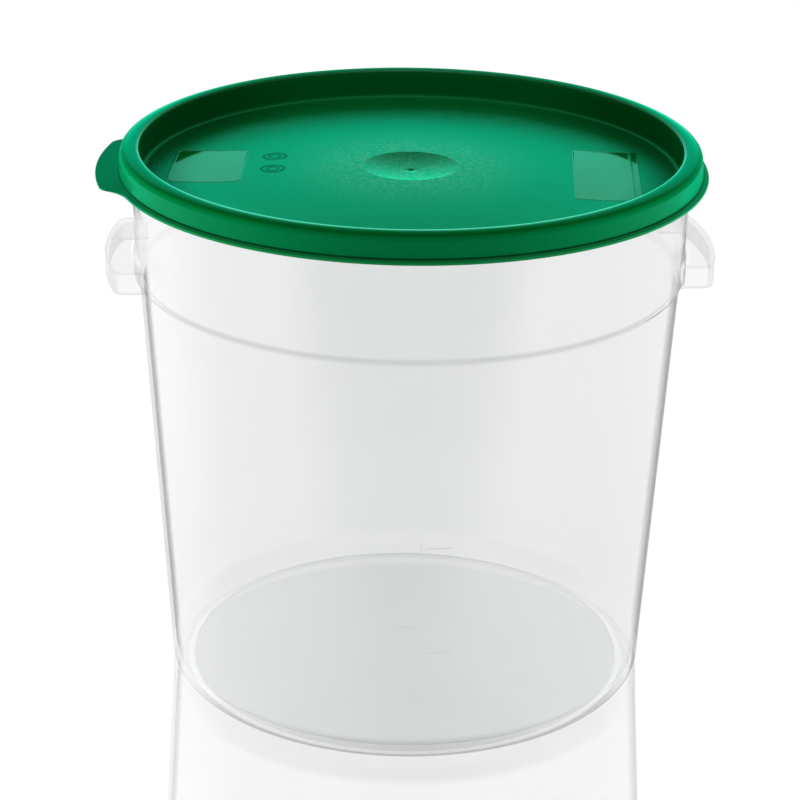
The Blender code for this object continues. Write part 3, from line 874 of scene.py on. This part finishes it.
def lid_mirrored(green, at, polished, rubbed, painted_shade_and_marks):
    """The share of gloss: by Fresnel on most of the lid, and steeper on the rim's crown, where it is painted
    light, raised towards the front and along the inner edge and cut towards the rear. It is cut as painted
    shade on the recess walls and under the other painted shade.
    """
    # Painted shade: the recess walls lose almost all their gloss.
    wall = at.in_recess * at.facing_up.rise(0.95, 0.7)
    tab = at.away.rise(SKIRT_FOOT + 0.1 * MM, SKIRT_FOOT + 0.8 * MM) * at.facing_up.rise(0.3, 0.7)
    plain = green.node("ShaderNodeFresnel", {"IOR": 1.5}).sum("Fac") - 0.03
    plain = plain * (1.95 + rubbed * 0.4 - polished * 0.3) * (1.0 - tab * 0.7) * (1.0 - wall * 0.93)
    facing = green.node("ShaderNodeLayerWeight", {"Blend": 0.5}).sum("Facing")
    shoulder = at.away.rise(RIM_RADIUS - 3.2 * MM, RIM_RADIUS - 1.0 * MM)
    # Painted light: the crown's gloss is raised towards the front and along the inner edge, and cut towards
    # the rear.
    rim = facing.with_("POWER", 8.0) * (3.9 + at.inner_edge_highlight * 1.8) * (1.0 - at.near_rear * 0.88)
    rim = rim * (1.0 + at.near_front * 0.8) * (1.0 - shoulder * 0.75) + at.near_rear * 0.09
    rim = rim.least(0.8 - shoulder * 0.6 - at.near_rear * 0.2)
    share = (plain * (1.0 - at.on_rim) + rim * at.on_rim) * (1.0 - painted_shade_and_marks * 0.75)
    return share.most(0.0).least(1.0 - at.on_skirt * 0.7)


def green_moulded_plastic():
    """Green plastic: a matte green with painted light and shade under a green-tinted gloss, with grain,
    labels and marks.
    """
    material, green = material_tree("green_moulded_plastic")
    at = LidPlaces(green)
    outsides = [outside_label(green, at, label) for label in LABELS]
    polished = greatest(outside.rise(0.35 * MM, -0.05 * MM) for outside in outsides) * at.on_floor
    marks = greatest(ring_mark(green, at, x, y) for x, y in RING_MARKS) * at.on_floor
    label_edges = sum(outside.absolute().rise(0.9 * MM, 0.3 * MM) * 0.5 for outside in outsides)
    relief = (label_edges + marks).least(1.0) * at.on_floor
    grain = noise(green, at.place, 480.0, 3.0, 0.7)
    cloudy = noise(green, at.place, 60.0, 4.0, 0.6)
    roughened = grain.rise(0.28, 0.72) * (1.0 - polished) * (at.sunk * 0.85 + 0.15)
    height = roughened * GRAIN_DEPTH + relief * RELIEF_DEPTH
    bump = green.node("ShaderNodeBump", {"Height": height, "Strength": 1.0, "Distance": 1.0}).socket()
    rubbed = at.away.rise(85 * MM, 25 * MM) * grain.rise(0.38, 0.62) * at.on_floor
    dye_and_painted_light, painted_shade_and_marks = lid_dye_and_painted_light(green, at, marks)
    matte_with_painted_light = green.node("ShaderNodeBsdfPrincipled", {
        "Base Color": dye_and_painted_light, "Roughness": 0.6, "Specular IOR Level": 0.0, "Normal": bump})
    gloss = green.node("ShaderNodeBsdfPrincipled", {
        # The rubbed floor's shine and the inner edge's painted highlight share one lighter green.
        "Base Color": green.mix(greatest([polished, rubbed * 0.8, at.inner_edge_highlight]), SHINE, SHINE_RUBBED_AND_HIGHLIGHT),
        "Metallic": 1.0, "Specular Tint": SHINE_GRAZING, "Normal": bump,
        "Roughness": (cloudy * 0.12 + 0.17 + at.sunk * 0.07) * (1.0 - polished) + polished * 0.05})
    shell = green.blend(lid_mirrored(green, at, polished, rubbed, painted_shade_and_marks), matte_with_painted_light, gloss)
    green.node("ShaderNodeOutputMaterial", {"Surface": shell.socket()})
    return material


settle(lid, green_moulded_plastic())
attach(lid, "lid")
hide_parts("lid")


# Floor: a pale, glossy table that runs out of sight. It glows as evenly as the backdrop,
# so only the container's soft shadow and its mirror image show on it.
FLOOR_HALF = 6.0
FLOOR_CORNERS = ((-1, -1), (1, -1), (1, 1), (-1, 1))
FLOOR_GLOW = 0.40
FLOOR_GLOW_SEEN = 0.88
WHITE = (1.0, 1.0, 1.0, 1.0)


def pale_table():
    """Half an even glow, weaker for the light that the table throws up, and half a mirror."""
    material, table = material_tree("pale_table")
    rays = table.node("ShaderNodeLightPath")
    seen = greatest(rays.sum(kind) for kind in ("Is Camera Ray", "Is Glossy Ray", "Is Transmission Ray"))
    lit = table.node("ShaderNodeBsdfPrincipled", {
        "Base Color": (0.25, 0.25, 0.25, 1.0), "Roughness": 0.8, "Specular IOR Level": 0.0,
        "Emission Color": WHITE, "Emission Strength": seen * (FLOOR_GLOW_SEEN - FLOOR_GLOW) + FLOOR_GLOW})
    mirror = table.node("ShaderNodeBsdfAnisotropic", {"Color": WHITE, "Roughness": 0.02}, distribution="GGX")
    sheen = table.blend(0.5, lit, mirror)
    table.node("ShaderNodeOutputMaterial", {"Surface": sheen.socket()})
    return material


floor_mesh = bpy.data.meshes.new("floor")
floor_mesh.from_pydata([(x * FLOOR_HALF, y * FLOOR_HALF, 0.0) for x, y in FLOOR_CORNERS], [], [(0, 1, 2, 3)])
floor_mesh.materials.append(pale_table())
floor = bpy.data.objects.new("floor", floor_mesh)
bpy.context.scene.collection.objects.link(floor)


# Light: a long low soft box on each side, a wide one behind and a small one above, in a
# white room. Seen straight or through plastic the room is even. What gloss mirrors of it
# is bright low down at the back, and dim overhead and in front.
LIT_POINT = Vector((0.0, 0.0, 0.2))
ROOM_DIM = 0.12
# A box: its name, place, size and power, and whether gloss shows it.
SOFT_BOXES = (
    ("soft_box_left", (-1.6, -0.2, 0.17), (1.4, 0.32), 24.0, False),
    ("soft_box_right", (1.57, -0.38, 0.17), (1.4, 0.32), 20.0, False),
    ("soft_box_behind", (0.0, 1.5, 1.3), (1.4, 1.0), 6.0, False),
    ("soft_box_above", (0.0, -0.1, 1.9), (0.9, 0.45), 4.0, True),
)

for name, place, size, power, seen_in_gloss in SOFT_BOXES:
    lamp_data = bpy.data.lights.new(name, "AREA")
    lamp_data.shape = "RECTANGLE"
    lamp_data.size, lamp_data.size_y = size
    lamp_data.energy = power
    lamp = bpy.data.objects.new(name, lamp_data)
    lamp.location = place
    lamp.rotation_euler = (LIT_POINT - Vector(place)).to_track_quat("-Z", "Y").to_euler()
    lamp.visible_camera = False
    lamp.visible_glossy = seen_in_gloss
    lamp.visible_transmission = False
    bpy.context.scene.collection.objects.link(lamp)

world = bpy.data.worlds.new("white_room")
bpy.context.scene.world = world
world.use_nodes = True
room = Finish(world.node_tree)
_, depth, height = room.apart(room.node("ShaderNodeTexCoord").socket("Generated"))
rays = room.node("ShaderNodeLightPath")
straight = rays.sum("Is Camera Ray").most(rays.sum("Is Transmission Ray"))
low_at_back = height.rise(0.61, 0.51) * (depth.rise(-0.1, 0.75) * 0.85 + 0.15)
mirrored = low_at_back * (1.0 - ROOM_DIM) + ROOM_DIM
brightness = straight + (1.0 - straight) * mirrored
backdrop = room.node("ShaderNodeBackground", {"Color": WHITE, "Strength": brightness})
room.node("ShaderNodeOutputWorld", {"Surface": backdrop.socket()})


# Camera: where the photographer stood, worked out from the circles of the lid and tub.
CAMERA_TURN = radians(-4.0)
CAMERA_PLACE = (-4.70 * MM, -1473.03 * MM, 761.39 * MM)
CAMERA_PITCH = radians(22.14)
CAMERA_ROLL = radians(0.67)
FOCAL_PIXELS = 2718.8
FRAME_PIXELS = 800
SENSOR_WIDTH = 36.0

camera_data = bpy.data.cameras.new("camera")
camera_data.sensor_width = SENSOR_WIDTH
camera_data.lens = FOCAL_PIXELS / FRAME_PIXELS * SENSOR_WIDTH
camera_data.clip_end = 50.0
camera = bpy.data.objects.new("camera", camera_data)
about_z = Matrix.Rotation(CAMERA_TURN, 4, "Z")
tilt = Matrix.Rotation(pi / 2 - CAMERA_PITCH, 4, "X") @ Matrix.Rotation(CAMERA_ROLL, 4, "Z")
camera.matrix_world = about_z @ Matrix.Translation(CAMERA_PLACE) @ tilt
bpy.context.scene.collection.objects.link(camera)
bpy.context.scene.camera = camera
bpy.context.scene.view_settings.view_transform = "Standard"
